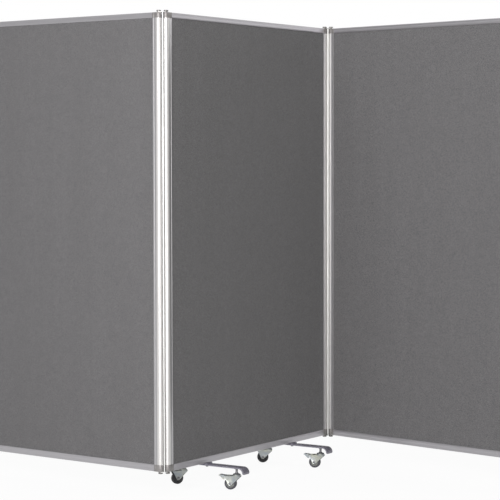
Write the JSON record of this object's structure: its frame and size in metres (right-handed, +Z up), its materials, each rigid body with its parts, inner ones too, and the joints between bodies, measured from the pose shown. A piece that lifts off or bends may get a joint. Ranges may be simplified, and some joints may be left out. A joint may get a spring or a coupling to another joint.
{
  "type": "folding privacy screen on castors",
  "caption": "Free-standing folding fabric screen: framed panels joined by full-height link hinges, on cross feet and swivel castors.",
  "frame": {"origin": "on the floor under the middle of the whole screen, as it stands folded in the picture", "axes": "+X along the middle panel, +Y from its front to its back, where the left wing stands, +Z up"},
  "size_m": [1.2378, 2.4004, 1.9071],
  "materials": {
    "satin_aluminium": "satin",
    "stile_aluminium": "satin",
    "bright_aluminium": "satin",
    "corner_grey": "satin",
    "cloth": "matte",
    "board_core": "matte",
    "pin_steel": "satin",
    "foot_grey": "satin",
    "zinc_hardware": "satin",
    "zinc_castor": "satin",
    "grey_wheel": "satin",
    "black_wheel": "satin"
  },
  "bodies": {
    "middle_panel": {"middle_board": "board_core", "middle_fabric": "cloth", "middle_top_rail": "satin_aluminium", "middle_bottom_rail": "satin_aluminium", "middle_left_stile": "stile_aluminium", "middle_left_top_corner": "corner_grey", "middle_left_bottom_corner": "corner_grey", "middle_right_stile": "stile_aluminium", "middle_right_top_corner": "corner_grey", "middle_right_bottom_corner": "corner_grey", "left_foot": "foot_grey", "left_foot_bolt": "zinc_hardware", "left_front_castor_stem": "zinc_hardware", "left_rear_castor_stem": "zinc_hardware", "left_inner_pin": "pin_steel", "right_foot": "foot_grey", "right_foot_bolt": "zinc_hardware", "right_front_castor_stem": "zinc_hardware", "right_rear_castor_stem": "zinc_hardware", "right_inner_pin": "pin_steel"},
    "left_link_body": {"left_link": "bright_aluminium"},
    "left_wing": {"left_wing_board": "board_core", "left_wing_fabric": "cloth", "left_wing_top_rail": "satin_aluminium", "left_wing_bottom_rail": "satin_aluminium", "left_wing_left_stile": "stile_aluminium", "left_wing_left_top_corner": "corner_grey", "left_wing_left_bottom_corner": "corner_grey", "left_wing_right_stile": "stile_aluminium", "left_wing_right_top_corner": "corner_grey", "left_wing_right_bottom_corner": "corner_grey", "left_wing_castor_stem": "zinc_hardware", "left_outer_pin": "pin_steel"},
    "right_link_body": {"right_link": "bright_aluminium"},
    "right_wing": {"right_wing_board": "board_core", "right_wing_fabric": "cloth", "right_wing_top_rail": "satin_aluminium", "right_wing_bottom_rail": "satin_aluminium", "right_wing_left_stile": "stile_aluminium", "right_wing_left_top_corner": "corner_grey", "right_wing_left_bottom_corner": "corner_grey", "right_wing_right_stile": "stile_aluminium", "right_wing_right_top_corner": "corner_grey", "right_wing_right_bottom_corner": "corner_grey", "right_wing_castor_stem": "zinc_hardware", "right_outer_pin": "pin_steel"},
    "left_front_castor_swivel": {"left_front_castor_fork": "zinc_castor"},
    "left_front_castor_wheel_body": {"left_front_castor_wheel": "grey_wheel"},
    "left_front_castor_brake_pedal_body": {"left_front_castor_brake_pedal": "zinc_castor"},
    "left_rear_castor_swivel": {"left_rear_castor_fork": "zinc_castor"},
    "left_rear_castor_wheel_body": {"left_rear_castor_wheel": "black_wheel"},
    "right_front_castor_swivel": {"right_front_castor_fork": "zinc_castor"},
    "right_front_castor_wheel_body": {"right_front_castor_wheel": "grey_wheel"},
    "right_front_castor_brake_pedal_body": {"right_front_castor_brake_pedal": "zinc_castor"},
    "right_rear_castor_swivel": {"right_rear_castor_fork": "zinc_castor"},
    "right_rear_castor_wheel_body": {"right_rear_castor_wheel": "black_wheel"},
    "left_wing_castor_swivel": {"left_wing_castor_fork": "zinc_castor"},
    "left_wing_castor_wheel_body": {"left_wing_castor_wheel": "black_wheel"},
    "right_wing_castor_swivel": {"right_wing_castor_fork": "zinc_castor"},
    "right_wing_castor_wheel_body": {"right_wing_castor_wheel": "black_wheel"}
  },
  "joints": [
    {"name": "left_link_fold", "type": "hinge", "parent": "middle_panel", "child": "left_link_body", "pos_m": [-0.5884, -0.00731, 0], "axis": [0, 0, -1], "range_deg": [-106.75, 43.25]},
    {"name": "left_wing_fold", "type": "hinge", "parent": "left_link_body", "child": "left_wing", "pos_m": [-0.60793, 0.01345, 0], "axis": [0, 0, -1], "range_deg": [-106.75, 43.25]},
    {"name": "right_link_fold", "type": "hinge", "parent": "middle_panel", "child": "right_link_body", "pos_m": [0.5896, -0.00731, 0], "axis": [0, 0, -1], "range_deg": [-110, 40]},
    {"name": "right_wing_fold", "type": "hinge", "parent": "right_link_body", "child": "right_wing", "pos_m": [0.60792, -0.02914, 0], "axis": [0, 0, -1], "range_deg": [-110, 40]},
    {"name": "left_front_castor_turn", "type": "hinge", "parent": "middle_panel", "child": "left_front_castor_swivel", "pos_m": [-0.3194, -0.15231, 0], "axis": [0, 0, 1], "continuous": true},
    {"name": "left_front_castor_roll", "type": "hinge", "parent": "left_front_castor_swivel", "child": "left_front_castor_wheel_body", "pos_m": [-0.32713, -0.12853, 0.02469], "axis": [-0.9511, -0.309, 0], "continuous": true},
    {"name": "left_front_castor_brake", "type": "hinge", "parent": "left_front_castor_swivel", "child": "left_front_castor_brake_pedal_body", "pos_m": [-0.33083, -0.11712, 0.0545], "axis": [-0.9511, -0.309, 0], "range_deg": [0, 20]},
    {"name": "left_rear_castor_turn", "type": "hinge", "parent": "middle_panel", "child": "left_rear_castor_swivel", "pos_m": [-0.3194, 0.11469, 0], "axis": [0, 0, 1], "continuous": true},
    {"name": "left_rear_castor_roll", "type": "hinge", "parent": "left_rear_castor_swivel", "child": "left_rear_castor_wheel_body", "pos_m": [-0.34105, 0.12719, 0.02469], "axis": [-0.5, -0.866, 0], "continuous": true},
    {"name": "right_front_castor_turn", "type": "hinge", "parent": "middle_panel", "child": "right_front_castor_swivel", "pos_m": [0.3206, -0.15231, 0], "axis": [0, 0, 1], "continuous": true},
    {"name": "right_front_castor_roll", "type": "hinge", "parent": "right_front_castor_swivel", "child": "right_front_castor_wheel_body", "pos_m": [0.31329, -0.1284, 0.02469], "axis": [-0.9563, -0.2924, 0], "continuous": true},
    {"name": "right_front_castor_brake", "type": "hinge", "parent": "right_front_castor_swivel", "child": "right_front_castor_brake_pedal_body", "pos_m": [0.30978, -0.11692, 0.0545], "axis": [-0.9563, -0.2924, 0], "range_deg": [0, 20]},
    {"name": "right_rear_castor_turn", "type": "hinge", "parent": "middle_panel", "child": "right_rear_castor_swivel", "pos_m": [0.3206, 0.11469, 0], "axis": [0, 0, 1], "continuous": true},
    {"name": "right_rear_castor_roll", "type": "hinge", "parent": "right_rear_castor_swivel", "child": "right_rear_castor_wheel_body", "pos_m": [0.30662, 0.13542, 0.02469], "axis": [-0.829, -0.5592, 0], "continuous": true},
    {"name": "left_wing_castor_turn", "type": "hinge", "parent": "left_wing", "child": "left_wing_castor_swivel", "pos_m": [-0.54059, 1.11439, 0], "axis": [0, 0, 1], "continuous": true},
    {"name": "left_wing_castor_roll", "type": "hinge", "parent": "left_wing_castor_swivel", "child": "left_wing_castor_wheel_body", "pos_m": [-0.55457, 1.13512, 0.02469], "axis": [-0.829, -0.5592, 0], "continuous": true},
    {"name": "right_wing_castor_turn", "type": "hinge", "parent": "right_wing", "child": "right_wing_castor_swivel", "pos_m": [0.41639, -1.11538, 0], "axis": [0, 0, 1], "continuous": true},
    {"name": "right_wing_castor_roll", "type": "hinge", "parent": "right_wing_castor_swivel", "child": "right_wing_castor_wheel_body", "pos_m": [0.40241, -1.09466, 0.02469], "axis": [-0.829, -0.5592, 0], "continuous": true}
  ],
  "couplings": [
    {"joint": "left_wing_fold", "follows": "left_link_fold", "ratio": 1},
    {"joint": "right_wing_fold", "follows": "right_link_fold", "ratio": 1}
  ]
}
